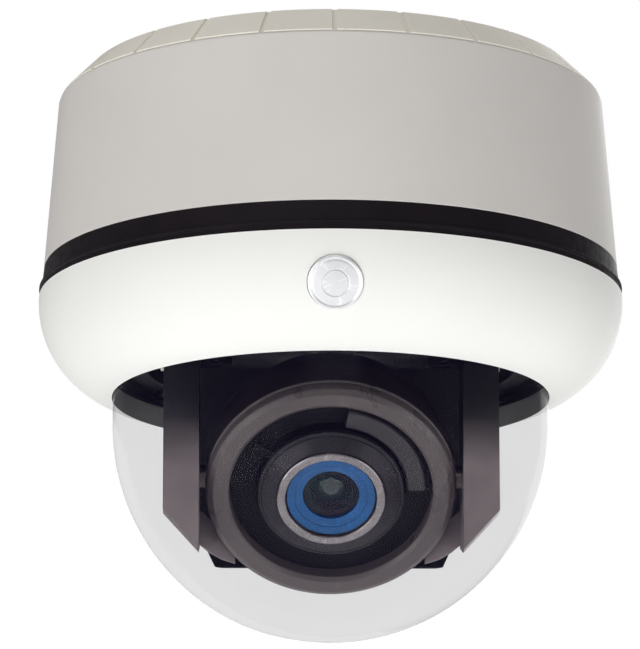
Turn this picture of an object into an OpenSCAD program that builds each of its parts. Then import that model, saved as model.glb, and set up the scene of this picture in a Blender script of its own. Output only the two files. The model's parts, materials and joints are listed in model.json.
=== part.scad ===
// Ceiling dome camera with pan, tilt, zoom, focus and iris drives.
// Origin: centre of the top mounting face. +Z up, the front of the camera faces -Y.

/* [Mounting base] */
// Radius of the mounting base at the ceiling
base_top_r = 62; // [60.5:0.5:66]
// Radius of the mounting base where it meets the back box
base_low_r = 69.5; // [67.5:0.5:70.5]
// Height of the mounting base
base_h = 7.5; // [6.5:0.5:10]
// Thickness of the mounting plate
base_plate = 3; // [2.5:0.5:3.5]
// Number of grip notches around the base
notches = 24; // [8:1:36]
// Diameter of the circle of ceiling screws
ceiling_pcd = 90; // [80:1:100]
// Radius of each ceiling screw hole
ceiling_hole_r = 2.3; // [1.8:0.1:3]
// Radius of the cable entry
entry_r = 10; // [7:0.5:11]

/* [Back box] */
// Height of the back box
box_h = 43.5; // [42:0.5:60]
// Thickness of the housing walls
wall = 3; // [2.5:0.1:3.4]
// Height of the gasket band
gasket_h = 7.5; // [6.5:0.5:9]
// Radius of the side conduit hole
conduit_r = 10.5; // [8:0.5:12]

/* [Bezel and dome] */
// Largest radius of the bezel
bezel_r = 74; // [74:0.5:80]
// Radius of the bezel's rounded profile
bezel_round = 25; // [24:0.5:26]
// Depth of the lip that shows around the dome
lip_h = 5.6; // [4.8:0.1:6.2]
// Outer radius of the dome
dome_r = 55; // [54.5:0.1:55.6]
// Wall of the dome
dome_wall = 2.5; // [1.5:0.1:3]
// Radius of the round badge
badge_r = 6.8; // [4:0.1:8]

/* [Pan drive] */
// Gear module of the pan drive
pan_module = 0.75; // [0.72:0.01:0.78]
// Teeth on the pan gear
pan_teeth = 96; // [90:1:98]
// Teeth on the pan pinion
pinion_teeth = 16; // [15:1:18]
// Radius of the pan motor's can
pan_can_r = 11; // [9:0.5:11.5]
// Radius of the turntable
table_r = 46; // [45:0.1:46.2]

/* [Tilt head] */
// Radius of the camera ball
ball_r = 31.5; // [29:0.1:32.2]
// Distance from the centre to the inside face of each arm
arm_x = 33; // [32.8:0.1:33.6]
// Thickness of each arm
arm_w = 9; // [8:0.1:9.2]
// Depth of each arm from front to back
arm_d = 24; // [22:0.5:25]
// Height of the tilt axis below the turntable
tilt_drop = 34; // [33.5:0.1:34.5]
// Radius of the tilt axle
axle_r = 3; // [2.5:0.1:3.2]
// Radius of the drive pulley on the tilt motor
drive_r = 4.25; // [4:0.05:4.4]
// Tilt belt reduction
belt_ratio = 2; // [1.9:0.05:2]

/* [Lens] */
// Outer radius of the lens's front rim
rim_r = 13.6; // [13.2:0.1:14.4]
// Outer radius of the stepped cone around the rim
cone_r = 18.4; // [17.8:0.1:18.6]
// Bore of the lens body
lens_bore = 13; // [12.6:0.1:13.1]
// Wall of the lens body
lens_wall = 1.8; // [1.6:0.1:1.8]
// Teeth on the zoom ring
zoom_teeth = 66; // [65:1:67]
// Teeth on the zoom pinion
zoom_pinion_teeth = 12; // [11:1:14]

/* [Hidden] */
$fn = 96;

// Clearances
gap = 0.3;
slip = 0.08;
slack = 0.05;
cut = 1;

// Heights of the housing, from the ceiling down
web_z = -base_h - wall;
box_z = -base_h - box_h;
bezel_z = box_z - gasket_h;
shelf_top = box_z + 10;
shelf_z = shelf_top - wall;
plate_h = 2;
plate_z = shelf_top - plate_h;
board_gap = 7.5;
board_h = 1.6;
board_z = web_z - board_gap - board_h;

// Housing radii
box_low_r = base_low_r + 3.3;
box_in_r = base_low_r - wall;
shelf_r = base_low_r + 0.5;
shelf_in_r = 58.6;
plate_r = shelf_in_r - 0.6;
post_r = 4;
post_ring = 52;
board_r = post_ring - post_r - 0.5;
board_ring = 42;
board_hole_r = entry_r + 3;
conduit_z = web_z - 18.5;
conduit_y = base_low_r + 2.8;

// Bezel profile: an arc around a point inside the wall
bezel_cr = bezel_r - bezel_round;
bezel_cz = bezel_z - 1.4;
open_r = dome_r + gap;
lip_z = bezel_cz - sqrt(pow(bezel_round, 2) - pow(open_r - bezel_cr, 2));
seat_z = lip_z + lip_h;
bezel_in = bezel_round - wall;
seat_r = bezel_cr + sqrt(pow(bezel_in, 2) - pow(bezel_cz - seat_z, 2));

// Dome, its seal and its retainer
seal_h = 1;
flange_h = 2.5;
flange_z = seat_z + seal_h;
flange_top = flange_z + flange_h;
flange_r = dome_r + 5;
dome_cz = lip_z - 6.7;
dome_in = dome_r - dome_wall;
retainer_h = 2.5;
retainer_top = flange_top + retainer_h;
clamp_ring = flange_r + 2.7;
clamp_boss_r = 2.3;
trim_h = 1.2;
trim_in_r = table_r + 0.5;
trim_r = dome_in - gap;
trim_spot = [(trim_r + trim_in_r) / 2 * cos(33), (trim_r + trim_in_r) / 2 * sin(33)];

// Bayonet between the bezel and its ring
bayonet_r = 68;
bayonet_wall = 2.5;
bayonet_z = bezel_z - 7.5;
hook_h = 2;
hook_r = bayonet_r + 1.8;
hook_top = bayonet_z + hook_h;
tab_h = 2.2;
tab_in_r = bayonet_r + 0.4;
tab_span = 30;
ring_flange_h = 2.5;
ring_ring = shelf_in_r + 3.4;
lock_z = bezel_z - 4;

// Badge on the front of the bezel
badge_tilt = 26.6;
badge_y = bezel_cr + bezel_round * cos(badge_tilt);
badge_z = bezel_cz - bezel_round * sin(badge_tilt);
badge_depth = 1.1;
badge_h = 1.3;

// Screws: one size through the housing, one smaller size for trim
screw_r = 1.45;
screw_l = 7;
screw_head_r = 2.75;
screw_head_h = 2;
screw_hole_r = screw_r + slack;
small_r = 0.9;
small_l = 5;
small_head_r = 1.8;
small_head_h = 1.2;
small_hole_r = small_r + slack;

// Pan drive
gear_top = plate_z - 2;
gear_h = 4;
gear_z = gear_top - gear_h;
pan_distance = (pan_teeth + pinion_teeth) * pan_module / 2 + 0.1;
pan_shaft_r = 1.5;
pinion_bore_r = pan_shaft_r;
pan_can_h = 16;
bearing_h = 6;
bearing_ball_r = 1.5;
hub_r = 10;
hub_in_r = 6;
inner_race_r = hub_r + 2;
bearing_ring = inner_race_r + 1;
outer_race_in = bearing_ring + 1;
outer_race_r = outer_race_in + 2;
bearing_balls_n = 18;
boss_top = shelf_top + bearing_h + 1;
hub_top = boss_top - 0.4;
flag_r = pan_teeth * pan_module / 2 + 5.5;
flag_z = gear_z - 1.5;
flag_h = 1;

// Slip ring
slip_r = 11;
slip_in_r = 6.6;
slip_h = 12;
slip_flange_h = 1.5;

// Turntable, arms and tilt drive
table_z = retainer_top + 2.5;
table_h = 3;
table_top = table_z + table_h;
tilt_z = table_z - tilt_drop;
arm_out = arm_x + arm_w;
arm_wall = 1.5;
arm_low = tilt_z - 10.7;
arm_tip = tilt_z - 20.6;
cavity_x = arm_x + arm_wall;
cavity_y = arm_d / 2 - 1.7;
cavity_r = arm_d / 2 - 2;
cover_z = tilt_z - 5.5;
arm_chamfer = atan((arm_low - arm_tip) / arm_w);
arm_back_slope = 9.5;
cover_h = 1.4;
foot_w = 8;
foot_h = 2.5;
foot_y = arm_d / 2 - 2.5;
cover_screw_y = cavity_y - 1.6;
cover_screw_z = table_z - 3;
tilt_can_r = 8;
tilt_can_x = 14;
tilt_can_l = 16;
tilt_motor_z = table_top + tilt_can_r;
belt_x = cavity_x + 1.7;
belt_w = 2.6;
belt_h = 0.8;
driven_r = drive_r * belt_ratio;
pulley_rim = 0.8;
pulley_edge = 0.35;
bushing_r = axle_r + 2;
bushing_bore = axle_r + slack;
liner_in = ball_r + 2.3;
liner_r = liner_in + 1.5;
liner_top = table_z - foot_h - 0.4;
liner_low = tilt_z - liner_r * sin(30.5);
liner_trim_r = dome_in - 1;
liner_y = arm_d / 2 + 0.4;
liner_w = 2 * (arm_out - 1);

// Camera ball, measured from the tilt axis along the lens
aim_angle = 135;
ball_wall = 2;
shell_in = ball_r - 0.1 - ball_wall;
ring_back = 3.6;
ring_front = 8.3;
ring_in = ball_r - 6;
split_z = -2;
baffle_h = 1.4;
baffle_z = ring_back - baffle_h;
collar_r = cone_r + 0.2;
axle_in_x = shell_in + 0.05;

// Lens
lens_out = lens_bore + lens_wall;
lens_front_r = lens_bore - slip;
lens_back = -19;
lens_fore = 2;
rim_z = 10.3;
cone_z = 7.7;
cone_back = 6.5;
tube_in = lens_bore - 3;
accent_r = 11.15;
glass_r = 6.95;
ring_bore = lens_out + 0.1;
zoom_module = 0.5;
zoom_z = -6;
zoom_h = 3.6;
zoom_distance = (zoom_teeth + zoom_pinion_teeth) * zoom_module / 2 + 0.1;
zoom_angle = 45;
zoom_can_r = 4;
zoom_can_h = 6.6;
zoom_lug_z = zoom_z - 2.4;
zoom_lug_h = 1.4;
zoom_shaft_r = 0.75;
cell_z = -14;
cell_h = 5;
focus_z = -1.2;
focus_top = 5.2;
focus_r = ring_bore + 2.6;
lever_angle = 147;
lever_r = 23;
lever_h = 1.2;
lever_w = 2.4;
ear_x = ball_r - 7;
ear_z = -9;
ear_h = 2;
ear_boss_r = 2.5;
cover_r = 24;
cover_top = 6.4;
sensor_z = -23;
sensor_board_w = 26;

// Shared shapes

function arc(c, r, a, b, n) = [for (i = [0:n]) c + r * [cos(a + (b - a) * i / n), sin(a + (b - a) * i / n)]];

module ring(outer, inner, h) {
    difference() {
        cylinder(r = outer, h = h);
        translate([0, 0, -cut]) cylinder(r = inner, h = h + 2 * cut);
    }
}

module around(n, start = 0) {
    for (i = [0:n - 1]) rotate(start + i * 360 / n) children();
}

// Wedge of a ring, centred on +X
module ring_part(outer, inner, h, span) {
    reach = 2 * outer;
    intersection() {
        ring(outer, inner, h);
        linear_extrude(h) polygon([[0, 0], [reach, -reach * tan(span / 2)], [reach, reach * tan(span / 2)]]);
    }
}

module along_x(x) {
    translate([x, 0, 0]) rotate([0, 90, 0]) children();
}

module along_y(y, z) {
    translate([0, y, z]) rotate([-90, 0, 0]) children();
}

// Screw with its head below z = 0 and its shank above
module screw() {
    translate([0, 0, -screw_head_h]) difference() {
        cylinder(r = screw_head_r, h = screw_head_h);
        translate([0, 0, -cut]) cylinder(r = 1.4, h = 1 + cut, $fn = 6);
    }
    cylinder(r = screw_r, h = screw_l);
}

module small_screw() {
    translate([0, 0, -small_head_h]) difference() {
        cylinder(r = small_head_r, h = small_head_h);
        translate([0, 0, -cut]) cylinder(r = 0.8, h = 0.6 + cut, $fn = 6);
    }
    cylinder(r = small_r, h = small_l);
}

// Involute gear outline
function inv(a) = tan(a) * 180 / PI - a;
function flank(q, base, half) = half + inv(20) - (q > base ? inv(acos(base / q)) : 0);
function gear_points(teeth, m, play) =
    let (pitch = teeth * m / 2)
    let (base = pitch * cos(20))
    let (tip = pitch + 0.9 * m)
    let (root = pitch - 1.25 * m)
    let (half = 90 / teeth - play / (2 * pitch) * 180 / PI)
    let (steps = 3)
    let (radii = [for (i = [0:steps]) root + (tip - root) * i / steps])
    [for (k = [0:teeth - 1]) each concat(
        [for (i = [0:steps]) radii[i] * [cos(k * 360 / teeth - flank(radii[i], base, half)),
                                         sin(k * 360 / teeth - flank(radii[i], base, half))]],
        [for (i = [steps:-1:0]) radii[i] * [cos(k * 360 / teeth + flank(radii[i], base, half)),
                                            sin(k * 360 / teeth + flank(radii[i], base, half))]])];

module gear(teeth, m, h, play = 0.12) {
    linear_extrude(h) polygon(gear_points(teeth, m, play));
}

// Housing

module notch() {
    slope = atan(base_h / (base_low_r - base_top_r));
    run = norm([base_h, base_low_r - base_top_r]);
    width = 1.4;
    depth = 0.7;
    translate([base_top_r, 0, 0]) rotate([0, slope, 0])
        translate([-cut, -width / 2, -depth]) cube([run + 2 * cut, width, depth + cut]);
}

module mount_base() {
    color("ivory") difference() {
        union() {
            rotate_extrude() polygon([[entry_r, 0], [base_top_r, 0], [base_low_r, -base_h],
                [base_low_r - wall, -base_h], [base_top_r - wall, -base_plate], [entry_r, -base_plate]]);
            around(3, 90) translate([post_ring, 0, -base_h]) cylinder(r = post_r, h = base_h - base_plate / 2);
        }
        around(notches) notch();
        around(4, 45) translate([ceiling_pcd / 2, 0, -base_h]) cylinder(r = ceiling_hole_r, h = base_h + cut);
        around(3, 90) translate([post_ring, 0, -base_h - cut])
            cylinder(r = screw_hole_r, h = screw_l - wall + cut + gap);
    }
}

module back_box() {
    standoff_r = 3;
    pad_r = conduit_r + 4;
    color("gainsboro") difference() {
        union() {
            rotate_extrude() polygon([[entry_r + 2, -base_h], [base_low_r, -base_h], [box_low_r, box_z],
                [box_low_r - wall, box_z], [box_in_r, web_z], [entry_r + 2, web_z]]);
            translate([0, 0, shelf_z]) ring(shelf_r, shelf_in_r, wall);
            around(3, 30) translate([post_ring, 0, shelf_top]) cylinder(r = post_r, h = web_z - shelf_top + 1);
            around(4) translate([board_ring, 0, board_z + board_h])
                cylinder(r = standoff_r, h = board_gap + 1);
            along_y(conduit_y - 4.2, conduit_z) cylinder(r = pad_r, h = 4.2);
        }
        around(3, 90) translate([post_ring, 0, web_z - cut]) cylinder(r = screw_hole_r, h = wall + 2 * cut);
        around(3, 30) translate([post_ring, 0, shelf_top - cut]) cylinder(r = screw_hole_r, h = screw_l + cut);
        around(4) translate([board_ring, 0, board_z]) cylinder(r = screw_hole_r, h = screw_l);
        around(6) translate([ring_ring, 0, shelf_z - cut]) cylinder(r = screw_hole_r, h = wall + 2 * cut);
        along_y(conduit_y - 12, conduit_z) cylinder(r = conduit_r, h = 14);
    }
}

module housing_screws() {
    color("silver") {
        around(3, 90) translate([post_ring, 0, web_z]) screw();
        around(3, 30) translate([post_ring, 0, plate_z]) screw();
        around(4) translate([board_ring, 0, board_z]) screw();
        around(6) translate([ring_ring, 0, shelf_z - ring_flange_h]) screw();
    }
}

module conduit_plug() {
    head_h = 1.4;
    color("gainsboro") difference() {
        union() {
            along_y(conduit_y - 5, conduit_z) cylinder(r = conduit_r - slack, h = 5);
            along_y(conduit_y, conduit_z) cylinder(r = conduit_r + 2, h = head_h);
        }
        along_y(conduit_y - 2, conduit_z) cylinder(r = 4, h = head_h + 4, $fn = 6);
        along_y(conduit_y - 6, conduit_z) cylinder(r = conduit_r - 2, h = 3);
    }
}

module body_gasket() {
    lip_out = bezel_r;
    color("black") rotate_extrude() polygon([[box_low_r - wall + 0.2, box_z], [box_low_r - 0.1, box_z],
        [box_low_r + 0.5, bezel_z + 2.4], [lip_out, bezel_z + 2.1], [lip_out, bezel_z + 1.7],
        [box_low_r + 0.6, bezel_z + 1.4], [box_low_r + 0.7, bezel_z], [box_low_r - wall + 0.2, bezel_z]]);
}

module bezel() {
    start = asin((bezel_z - bezel_cz) / bezel_round);
    stop = -acos((open_r - bezel_cr) / bezel_round);
    inner_start = asin((bezel_z - bezel_cz) / bezel_in);
    inner_stop = -asin((bezel_cz - seat_z) / bezel_in);
    centre = [bezel_cr, bezel_cz];
    outline = concat(arc(centre, bezel_round, start, stop, 16), [[open_r, seat_z]],
        arc(centre, bezel_in, inner_stop, inner_start, 12));
    color("white") difference() {
        union() {
            rotate_extrude() polygon(outline);
            for (a = [45:90:315]) rotate(a) translate([0, 0, hook_top + 0.2])
                ring_part(bezel_r - wall + 0.5, tab_in_r, tab_h, tab_span);
            around(4, 45) translate([clamp_ring, 0, seat_z + 0.5])
                cylinder(r = clamp_boss_r, h = flange_top - seat_z - 0.5);
        }
        around(4, 45) translate([clamp_ring, 0, seat_z + 0.8]) cylinder(r = small_hole_r, h = 5);
        at_badge() translate([0, 0, -badge_depth]) cylinder(r = badge_r + slack, h = 5);
        along_y(bezel_r - 9, lock_z) cylinder(r = screw_hole_r + 0.1, h = 12);
        along_y(bezel_r - 1.4, lock_z) cylinder(r = screw_head_r + 0.1, h = 4);
    }
}

module at_badge() {
    translate([0, -badge_y, badge_z]) rotate([90 + badge_tilt, 0, 0]) children();
}

module badge() {
    color("silver") at_badge() translate([0, 0, -badge_depth])
        rotate_extrude() polygon([[0, 0], [badge_r, 0], [badge_r, badge_h - 0.3], [badge_r - 0.5, badge_h],
            [0, badge_h + 0.25]]);
}

module bayonet_ring() {
    color("dimgray") difference() {
        union() {
            translate([0, 0, shelf_z - ring_flange_h]) ring(box_in_r + 2.5, shelf_in_r, ring_flange_h);
            translate([0, 0, bayonet_z]) ring(bayonet_r, bayonet_r - bayonet_wall, shelf_z - bayonet_z - 1);
            for (a = [45:90:315]) rotate(a) translate([0, 0, bayonet_z])
                ring_part(hook_r, bayonet_r - 1, hook_h, tab_span);
        }
        around(6) translate([ring_ring, 0, shelf_z - ring_flange_h - cut])
            cylinder(r = screw_hole_r, h = ring_flange_h + 2 * cut);
        along_y(bayonet_r - 6, lock_z) cylinder(r = screw_hole_r, h = 8);
    }
}

module lock_screw() {
    head_y = bezel_r - 1.4;
    color("silver") translate([0, head_y, lock_z]) rotate([90, 0, 0]) difference() {
        union() {
            translate([0, 0, -1.3]) cylinder(r = screw_head_r, h = 1.3);
            cylinder(r = screw_r, h = screw_l);
        }
        translate([0, 0, -1.3 - cut]) cylinder(r = 1.3, h = 0.9 + cut, $fn = 6);
    }
}

module dome() {
    centre = [0, dome_cz];
    color("azure") rotate_extrude() polygon(concat(arc(centre, dome_r, -90, 0, 20),
        [[dome_r, flange_z], [flange_r, flange_z], [flange_r, flange_top], [dome_in, flange_top]],
        arc(centre, dome_in, 0, -90, 20)));
}

module dome_seal() {
    color("darkslategray") translate([0, 0, seat_z]) ring(flange_r - 0.5, open_r + 1, seal_h);
}

module dome_retainer() {
    color("black") translate([0, 0, flange_top]) difference() {
        ring(clamp_ring + 1.9, trim_in_r, retainer_h);
        around(4, 45) translate([clamp_ring, 0, -cut]) cylinder(r = small_hole_r, h = retainer_h + 2 * cut);
        at_trim_screws() translate([0, 0, -cut]) cylinder(r = small_hole_r, h = retainer_h + 2 * cut);
    }
}

module at_trim_screws() {
    for (sx = [-1, 1], sy = [-1, 1]) translate([sx * trim_spot[0], sy * trim_spot[1], 0]) children();
}

module deck_trim() {
    color("black") translate([0, 0, flange_top - trim_h]) difference() {
        ring(trim_r, trim_in_r, trim_h);
        at_trim_screws() translate([0, 0, -cut]) cylinder(r = small_hole_r, h = trim_h + 2 * cut);
    }
}

module small_screws() {
    color("silver") {
        around(4, 45) translate([clamp_ring, 0, retainer_top]) mirror([0, 0, 1]) small_screw();
        translate([0, 0, flange_top - trim_h]) at_trim_screws() small_screw();
    }
}

module main_board() {
    color("darkgreen") translate([0, 0, board_z]) difference() {
        ring(board_r, board_hole_r, board_h);
        around(4) translate([board_ring, 0, -cut]) cylinder(r = screw_hole_r, h = board_h + 2 * cut);
    }
}

module network_jack() {
    size = [16, 21, 13];
    color("silver") translate([-36, 10, board_z - size[2]]) difference() {
        cube(size);
        translate([2, size[1] - 17, 3]) cube([12, 18, 8]);
    }
}

module power_terminal() {
    size = [16, 12, 10];
    color("green") translate([14, 22, board_z - size[2]]) difference() {
        cube(size);
        for (x = [4, 12]) {
            translate([x, size[1] - 8, 4]) rotate([-90, 0, 0]) cylinder(r = 1.8, h = 9);
            translate([x, size[1] / 2, -cut]) cylinder(r = 1.6, h = 3 + cut);
        }
    }
}

module board_components() {
    chips = [[-36, -26, 14, 1.8], [-16, -38, 10, 1.4], [-16, -26, 8, 1.2], [24, -24, 9, 4]];
    color("dimgray") {
        for (c = chips) translate([c[0], c[1], board_z - c[3]]) cube([c[2], c[2], c[3]]);
        for (x = [8, 16, 24]) translate([x, -36, board_z - 9]) cylinder(r = 3.2, h = 9);
    }
}

module chassis_plate() {
    color("silver") difference() {
        union() {
            translate([0, 0, plate_z]) cylinder(r = plate_r, h = plate_h);
            translate([0, 0, plate_z]) cylinder(r = outer_race_r + 4, h = boss_top - plate_z);
        }
        translate([0, 0, plate_z - cut]) cylinder(r = inner_race_r + 1.5, h = plate_h + 2 * cut);
        translate([0, 0, shelf_top]) cylinder(r = outer_race_r, h = boss_top - shelf_top + cut);
        around(3, 30) translate([post_ring, 0, plate_z - cut])
            cylinder(r = screw_hole_r, h = plate_h + 2 * cut);
        translate([pan_distance, 0, plate_z - cut])
            cylinder(r = pinion_teeth * pan_module / 2 + 1, h = plate_h + 2 * cut);
    }
}

module pan_motor_can() {
    ear_h = 1;
    translate([pan_distance, 0, shelf_top]) color("slategray") difference() {
        union() {
            cylinder(r = pan_can_r, h = pan_can_h);
            for (s = [-1, 1]) translate([0, s * (pan_can_r + 2.5), 0]) cylinder(r = 3, h = ear_h);
        }
        translate([0, 0, -cut]) cylinder(r = pan_shaft_r + slack, h = 12 + cut);
        for (s = [-1, 1]) translate([0, s * (pan_can_r + 2.9), -cut]) cylinder(r = 1.1, h = ear_h + 2 * cut);
    }
}

module groove() {
    translate([bearing_ring, shelf_top + bearing_h / 2]) circle(r = bearing_ball_r + slack);
}

module bearing_outer_race() {
    color("lightgray") rotate_extrude() difference() {
        translate([outer_race_in, shelf_top]) square([outer_race_r - outer_race_in, bearing_h]);
        groove();
    }
}

module bearing_inner_race() {
    color("lightgray") rotate_extrude() difference() {
        translate([hub_r, shelf_top]) square([inner_race_r - hub_r, bearing_h]);
        groove();
    }
}

module bearing_balls() {
    color("silver") around(bearing_balls_n) translate([bearing_ring, 0, shelf_top + bearing_h / 2])
        sphere(r = bearing_ball_r);
}

module slip_ring_body() {
    color("dimgray") translate([0, 0, boss_top]) difference() {
        union() {
            ring(outer_race_r + 3.5, slip_in_r + 0.4, slip_flange_h);
            ring(slip_r, slip_in_r, slip_h);
            translate([0, 0, slip_h - 1]) cylinder(r = slip_r, h = 1);
        }
        translate([0, 0, slip_h - 2]) cylinder(r = 3, h = 4);
    }
}

module pan_home_sensor() {
    width = 7;
    inner = flag_r - 3;
    color("black") translate([-flag_r - 4.5, -width / 2, flag_z - 2.5]) difference() {
        cube([flag_r + 4.5 - inner, width, plate_z - flag_z + 2.5]);
        translate([3.5, -cut, 1.8]) cube([8, width + 2 * cut, 2.4]);
    }
}

// Pan drive

module pan_motor_shaft() {
    color("silver") translate([pan_distance, 0, gear_z + 0.4])
        cylinder(r = pan_shaft_r, h = shelf_top + 10 - gear_z);
}

module pan_pinion() {
    color("gold") translate([pan_distance, 0, gear_z + 0.3]) difference() {
        rotate(180 / pinion_teeth) gear(pinion_teeth, pan_module, gear_h - 0.6);
        translate([0, 0, -cut]) cylinder(r = pinion_bore_r, h = gear_h + 2 * cut);
    }
}

module pan_hub() {
    flange = hub_r + 3;
    color("dimgray") difference() {
        union() {
            translate([0, 0, table_z]) cylinder(r = hub_r, h = hub_top - table_z);
            translate([0, 0, gear_top]) cylinder(r = hub_r + 1.5, h = shelf_top - gear_top);
            translate([0, 0, gear_z - 2]) cylinder(r = flange, h = 2);
            translate([0, 0, table_top]) cylinder(r = flange, h = 2);
        }
        translate([0, 0, table_z - cut]) cylinder(r = hub_in_r, h = hub_top - table_z + 2 * cut);
    }
}

module pan_gear() {
    pocket_ring = (hub_r + pan_teeth * pan_module / 2) / 2 + 1;
    color("gold") {
        translate([0, 0, gear_z]) difference() {
            gear(pan_teeth, pan_module, gear_h);
            translate([0, 0, -cut]) cylinder(r = hub_r, h = gear_h + 2 * cut);
            around(6, 30) translate([pocket_ring, 0, -cut]) cylinder(r = 6, h = gear_h + 2 * cut);
        }
        translate([-flag_r, -1.5, flag_z]) cube([11, 3, flag_h]);
        translate([-flag_r + 7, -1.5, flag_z]) cube([4, 3, gear_z - flag_z + 0.5]);
    }
}

module slip_ring_rotor() {
    color("gold") {
        translate([0, 0, boss_top + 0.1]) cylinder(r = slip_in_r - 0.1, h = slip_h - 2.5);
        translate([0, 0, boss_top - 8]) cylinder(r = hub_in_r, h = 8.1);
    }
}

module at_arm_screws() {
    for (sx = [-1, 1], sy = [-1, 1])
        translate([sx * (arm_x - foot_w / 2), sy * (foot_y - 1), 0]) children();
}

module turntable() {
    color("black") translate([0, 0, table_z]) difference() {
        ring(table_r, hub_r, table_h);
        for (s = [-1, 1]) translate([s * (cavity_x + arm_out) / 2, 0, table_h / 2])
            cube([arm_out - cavity_x, 2 * cavity_y, table_h + 2 * cut], center = true);
        at_arm_screws() translate([0, 0, -cut]) cylinder(r = screw_hole_r, h = table_h + 2 * cut);
    }
}

// Arm on the +X side: a channel open to the outside, with a foot under the turntable
module arm() {
    difference() {
        union() {
            rotate([90, 0, 0]) linear_extrude(arm_d, center = true)
                polygon([[arm_x, table_z], [arm_out, table_z], [arm_out, arm_low], [arm_x, arm_tip]]);
            translate([arm_x - foot_w, -arm_d / 2, table_z - foot_h]) cube([foot_w + 1, arm_d, foot_h]);
        }
        translate([cavity_x, -cavity_y, tilt_z + 2]) cube([arm_w, 2 * cavity_y, tilt_drop + 20]);
        translate([arm_out - cover_h, -cavity_y, cover_z]) cube([arm_w, 2 * cavity_y, tilt_drop]);
        translate([0, 0, tilt_z]) along_x(cavity_x) cylinder(r = cavity_r, h = arm_w - arm_wall - cover_h);
        translate([arm_out, -arm_d / 4, arm_low]) rotate([0, -arm_chamfer, 0]) rotate([arm_back_slope, 0, 0])
            translate([-2 * arm_d, -arm_d, -arm_d]) cube([3 * arm_d, 3 * arm_d, arm_d]);
        translate([0, 0, tilt_z]) along_x(arm_x - cut) cylinder(r = bushing_r, h = arm_wall + 2 * cut);
        for (s = [-1, 1]) translate([arm_x - foot_w / 2, s * (foot_y - 1), table_z - foot_h - cut])
            cylinder(r = screw_hole_r, h = foot_h + 2 * cut);
    }
    cover_posts();
}

module cover_posts() {
    post = arm_w - arm_wall - cover_h;
    for (s = [-1, 1]) translate([0, s * cover_screw_y, cover_screw_z]) difference() {
        along_x(cavity_x) cylinder(r = 1.55, h = post);
        along_x(arm_out - small_l - 0.2) cylinder(r = small_hole_r, h = small_l);
    }
}

module arm_cover() {
    difference() {
        translate([arm_out - cover_h, -cavity_y + slack, cover_z + slack])
            cube([cover_h, 2 * (cavity_y - slack), table_z - cover_z - 2 * slack]);
        for (s = [-1, 1]) translate([0, s * cover_screw_y, cover_screw_z])
            along_x(arm_out - 3) cylinder(r = small_hole_r, h = 4);
    }
}

module right_arm() {
    color("black") arm();
}

module left_arm() {
    color("black") mirror([1, 0, 0]) arm();
}

module right_arm_cover() {
    color("dimgray") arm_cover();
}

module left_arm_cover() {
    color("dimgray") mirror([1, 0, 0]) arm_cover();
}

module arm_screws() {
    color("silver") {
        at_arm_screws() translate([0, 0, table_top]) mirror([0, 0, 1]) arm_screw();
        for (s = [-1, 1], side = [0, 1]) mirror([side, 0, 0]) translate([0, s * cover_screw_y, cover_screw_z])
            along_x(arm_out) mirror([0, 0, 1]) small_screw();
    }
}

module arm_screw() {
    translate([0, 0, -screw_head_h]) difference() {
        cylinder(r = screw_head_r - 0.25, h = screw_head_h);
        translate([0, 0, -cut]) cylinder(r = 1.4, h = 1 + cut, $fn = 6);
    }
    cylinder(r = screw_r, h = table_h + foot_h - 0.5);
}

// Dark wall behind the camera ball, bent around the tilt axis
module rear_liner() {
    color("black") intersection() {
        translate([0, 0, tilt_z]) along_x(-liner_w / 2) ring(liner_r, liner_in, liner_w);
        translate([-liner_w / 2, liner_y, liner_low]) cube([liner_w, liner_r, liner_top - liner_low]);
        translate([0, 0, dome_cz]) sphere(r = liner_trim_r);
    }
}

// Tilt drive

module tilt_motor_can() {
    color("slategray") translate([0, 0, tilt_motor_z]) difference() {
        along_x(tilt_can_x) cylinder(r = tilt_can_r, h = tilt_can_l);
        along_x(tilt_can_x + 4) cylinder(r = 1.25 + slack, h = tilt_can_l);
    }
}

module tilt_drive_pulley() {
    color("silver") translate([0, 0, tilt_motor_z]) {
        along_x(tilt_can_x + 6) cylinder(r = 1.25, h = belt_x + belt_w - tilt_can_x - 5.4);
        along_x(belt_x) pulley(drive_r - 0.05, 0.9);
    }
}

// Belt pulley along +Z with a rim on each side
module pulley(r, edge) {
    cylinder(r = r, h = belt_w);
    translate([0, 0, -pulley_edge]) cylinder(r = r + edge, h = pulley_edge);
    translate([0, 0, belt_w]) cylinder(r = r + edge, h = pulley_edge);
}

module belt_loop(grow) {
    hull() {
        translate([0, tilt_motor_z]) circle(r = drive_r + grow, $fn = 32);
        translate([0, tilt_z]) circle(r = driven_r + grow, $fn = 32);
    }
}

module tilt_belt() {
    side = 0.15;
    color("black") translate([belt_x + side, 0, 0]) rotate([90, 0, 90]) linear_extrude(belt_w - 2 * side)
        difference() {
            belt_loop(belt_h + 0.1);
            belt_loop(0.1);
        }
}

module tilt_bushings() {
    flange_w = 0.9;
    color("goldenrod") for (side = [0, 1]) mirror([side, 0, 0]) translate([0, 0, tilt_z]) {
        along_x(arm_x) ring(bushing_r, bushing_bore, arm_wall);
        along_x(cavity_x) ring(bushing_r + 1, bushing_bore, flange_w);
    }
}

// Camera ball

// Places children at the tilt axis with +Z along the lens
module aim() {
    translate([0, 0, tilt_z]) rotate([aim_angle, 0, 0]) children();
}

module front_ring() {
    color([0.2, 0.15, 0.16]) aim() rotate_extrude() polygon([[ring_in, ring_back], [ball_r - 0.3, ring_back],
        [ball_r + 0.1, ring_back + 0.6], [ball_r, ring_back + 1.6], [ball_r - 0.7, ring_front - 0.3],
        [ball_r - 1, ring_front], [ring_in + 0.7, ring_front], [ring_in, ring_front - 0.5]]);
}

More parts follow.
